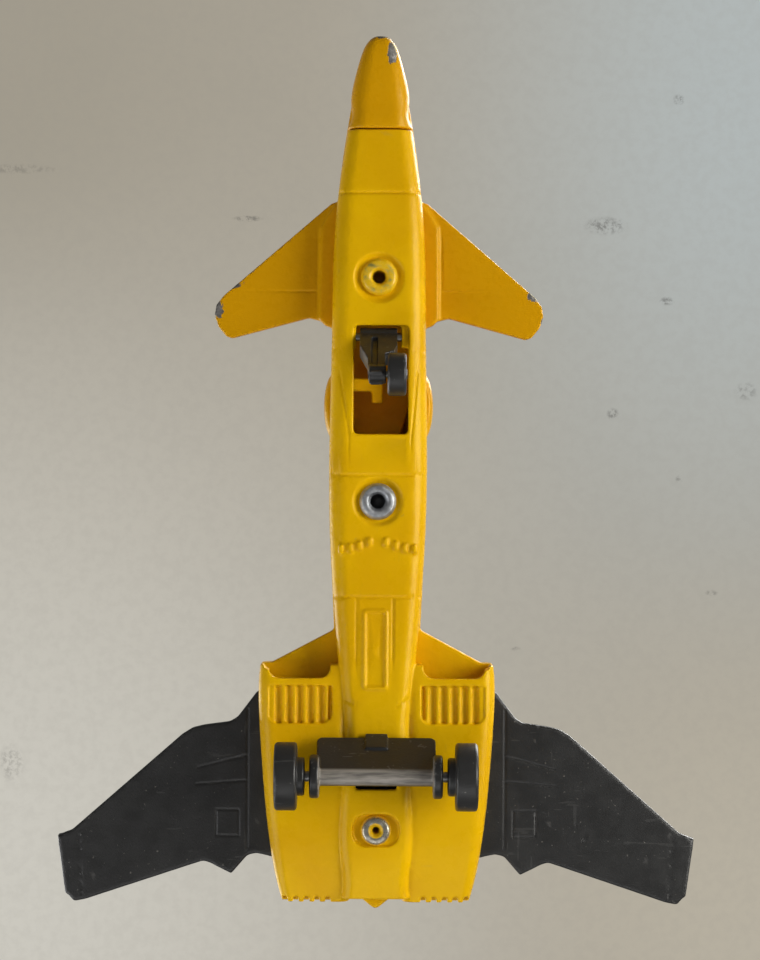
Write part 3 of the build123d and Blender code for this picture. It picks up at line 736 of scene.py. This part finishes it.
for ob, mat in (
    (upper, mat_upper), (lower, mat_lower), (wing, mat_wing), (strut, mat_strut), (leg, mat_leg),
    (wheel_l, mat_wheel), (wheel_r, mat_wheel), (nwheel, mat_wheel), (axle, mat_steel),
    (naxle, mat_steel), (npin, mat_steel), (rv_f, mat_front), (rv_m, mat_mid), (rv_r, mat_rear),
):
    give(ob, mat)
can = N["canopy"]
for i in range(max(1, len(can.material_slots))):
    if not can.material_slots:
        can.data.materials.append(mat_canopy)
    else:
        can.material_slots[i].link = "OBJECT"
        can.material_slots[i].material = mat_canopy

# ====================================================================== stage
# small smudges and scratches of the worn table: x, y, size, stretch x, stretch y, strength
MARKS = (
    (35.7, -45.6, 0.55, 1.0, 1.0, 0.7), (27.0, -30.4, 1.5, 0.75, 1.7, 0.7), (34.4, -21.4, 0.6, 0.8, 1.4, 0.7),
    (-16.0, -31.0, 0.8, 0.55, 2.6, 0.75), (28.0, -7.8, 0.6, 1.0, 1.0, 0.7), (44.0, -10.6, 0.9, 0.8, 1.0, 0.45),
    (-43.5, -36.8, 2.4, 0.6, 5.0, 0.4), (-44.0, 34.5, 1.8, 1.4, 1.0, 0.4), (16.5, 20.5, 0.5, 1.0, 2.0, 0.5),
    (40.0, 13.6, 0.5, 0.8, 1.6, 0.5), (36.0, 0.0, 0.4, 1, 1, 0.5),
)
PALE = (0.46, 0.44, 0.40)


def backdrop(ob, m, color):
    """Softly self-lit stage surface that neither lights nor shades the object."""
    em = m.node("ShaderNodeEmission")
    m.link(color, em.inputs["Color"])
    m.link(em.outputs[0], m.out.inputs["Surface"])
    ob.data.materials.append(m.m)
    ob.visible_shadow = False
    ob.visible_diffuse = False
    ob.visible_glossy = False
    ob.visible_transmission = True
    return ob


def plane(name, z, size):
    me = bpy.data.meshes.new(name)
    h = size / 2
    me.from_pydata([(-h, -h, z), (h, -h, z), (h, h, z), (-h, h, z)], [], [(0, 1, 2, 3)])
    return link(me, name)


# the table top, seen behind the upturned toy, stands well away from it
WALL_Z = 0.60
FAR = (WALL_Z + 0.2875) / 0.3134
m = Mat("table_mat")
ax_, ay_ = m.axis(0), m.axis(1)
col = m.mix(m.ramp(m.noise(14 / FAR, 4.0, 0.6), 0.3, 0.7), (0.405, 0.370, 0.305), (0.375, 0.345, 0.285))
# painted light and shadow on the table: paler towards -X and +Y as painted light
pale = m.math("MULTIPLY", m.ramp(ax_, 0.045 * FAR, -0.050 * FAR), m.ramp(ay_, -0.050 * FAR, 0.050 * FAR))
col = m.mix(pale, col, (0.600, 0.580, 0.520))
# painted shadow: greenish grey towards +X and -Y
painted_shadow_greenish = m.math("MULTIPLY", m.ramp(ax_, -0.010 * FAR, 0.045 * FAR), m.ramp(ay_, 0.045 * FAR, -0.045 * FAR))
col = m.mix(painted_shadow_greenish, col, (0.440, 0.475, 0.470))
# painted bounce light: yellowish towards +X and +Y
painted_bounce_light = m.math("MULTIPLY", m.ramp(ax_, 0.0, 0.045 * FAR), m.ramp(ay_, 0.0, 0.050 * FAR))
col = m.mix(painted_bounce_light, col, (0.470, 0.430, 0.350))
# painted shadow: darker towards -X and -Y
painted_shadow_neg_xy = m.math("MULTIPLY", m.ramp(ax_, 0.004 * FAR, -0.045 * FAR), m.ramp(ay_, -0.012 * FAR, -0.045 * FAR))
col = m.mix(m.math("MULTIPLY", painted_shadow_neg_xy, 0.6), col, (0.330, 0.300, 0.240))
col = m.mix(m.math("MULTIPLY", m.ramp(m.noise(900 / FAR, 3.0, 0.6), 0.35, 0.7), 0.10), col, (0.30, 0.28, 0.25))
for x, y, r, sx_, sy_, k in MARKS:
    f = m.spot((x * FAR, y * FAR, WALL_Z * 1000), r * FAR, 0.5, (sx_, sy_, 0.0))
    f = m.math("MULTIPLY", f, m.ramp(m.noise(1500 / FAR, 4.0, 0.75), 0.42, 0.62))
    col = m.mix(m.math("MULTIPLY", f, k * 0.8), col, (0.10, 0.095, 0.09))
backdrop(plane("table", WALL_Z, 1.2), m, col)

# the floor under the wheels' side, and the pale studio all round
m = Mat("floor_mat")
col = m.mix(m.ramp(m.noise(3, 3.0, 0.6), 0.3, 0.7), PALE, tuple(v * 0.97 for v in PALE))
backdrop(plane("floor", -0.60, 24.0), m, col)

bm = bmesh.new()
bmesh.ops.create_icosphere(bm, subdivisions=4, radius=11.0)
me = bpy.data.meshes.new("studio_dome")
bm.to_mesh(me)
bm.free()
m = Mat("dome_mat")
col = m.mix(m.ramp(m.axis(2), 0.0, 8.0), PALE, tuple(min(1.0, v * 1.25) for v in PALE))
backdrop(link(me, "studio_dome"), m, col)


def area(name, loc, size, power, color=(1, 1, 1), target=(0, 0, 0.012), size_y=None):
    li = bpy.data.lights.new(name, "AREA")
    li.shape = "RECTANGLE"
    li.size = size
    li.size_y = size_y or size
    li.energy = power
    li.color = color
    ob = bpy.data.objects.new(name, li)
    bpy.context.scene.collection.objects.link(ob)
    ob.location = loc
    ob.rotation_mode = "QUATERNION"
    ob.rotation_quaternion = (Vector(target) - Vector(loc)).to_track_quat("-Z", "Y")
    ob.visible_camera = False
    return ob


# below: the side that the main view sees
area("window_right", (0.33, -0.04, -0.16), 0.24, 1.45, (1.0, 0.985, 0.93))
area("fill_left", (-0.32, 0.20, -0.15), 0.30, 0.80, (0.98, 0.985, 1.0))
area("fill_low", (0.02, 0.32, -0.30), 0.24, 0.24)
# above: the side that the other views see
area("top_key", (0.30, -0.26, 0.42), 0.30, 3.1, (1.0, 0.985, 0.95))
area("top_fill", (-0.38, 0.18, 0.32), 0.34, 1.2, (0.96, 0.98, 1.0))

w = bpy.data.worlds.new("studio")
bpy.context.scene.world = w
w.use_nodes = True
wt = w.node_tree
wt.nodes.clear()
tc = wt.nodes.new("ShaderNodeTexCoord")
sx = wt.nodes.new("ShaderNodeSeparateXYZ")
wt.links.new(tc.outputs["Generated"], sx.inputs[0])
cr = wt.nodes.new("ShaderNodeValToRGB")
mr = wt.nodes.new("ShaderNodeMapRange")
mr.inputs["From Min"].default_value = -1
mr.inputs["From Max"].default_value = 1
wt.links.new(sx.outputs[2], mr.inputs["Value"])
wt.links.new(mr.outputs[0], cr.inputs[0])
els = cr.color_ramp.elements
els[0].position, els[0].color = 0.0, (0.62, 0.60, 0.56, 1)
els[1].position, els[1].color = 1.0, (0.95, 0.96, 0.98, 1)
e = els.new(0.10)
e.color = (0.62, 0.60, 0.56, 1)
e = els.new(0.45)
e.color = (0.50, 0.47, 0.42, 1)
e = els.new(0.56)
e.color = (0.66, 0.65, 0.63, 1)
bgn = wt.nodes.new("ShaderNodeBackground")
bgn.inputs["Strength"].default_value = 0.27
wt.links.new(cr.outputs[0], bgn.inputs["Color"])
wo = wt.nodes.new("ShaderNodeOutputWorld")
wt.links.new(bgn.outputs[0], wo.inputs["Surface"])

bpy.context.scene.view_settings.view_transform = "Standard"

# ===================================================================== camera
DIST = 0.300
ZREF = 0.0125
cam_data = bpy.data.cameras.new("camera")
cam = bpy.data.objects.new("camera", cam_data)
bpy.context.scene.collection.objects.link(cam)
cam_data.sensor_width = 36.0
cam_data.lens = 36.0 * DIST / 0.1104
cam_data.dof.use_dof = False
cam.location = (0.00023, 0.00086, ZREF - DIST)
roll = math.radians(-0.36)
right = Vector((math.cos(roll), math.sin(roll), 0))
back = Vector((0, 0, -1))
upv = back.cross(right)
cam.rotation_mode = "QUATERNION"
cam.rotation_quaternion = Matrix((right, upv, back)).transposed().to_quaternion()
cam_data.clip_start = 0.01
bpy.context.scene.camera = cam
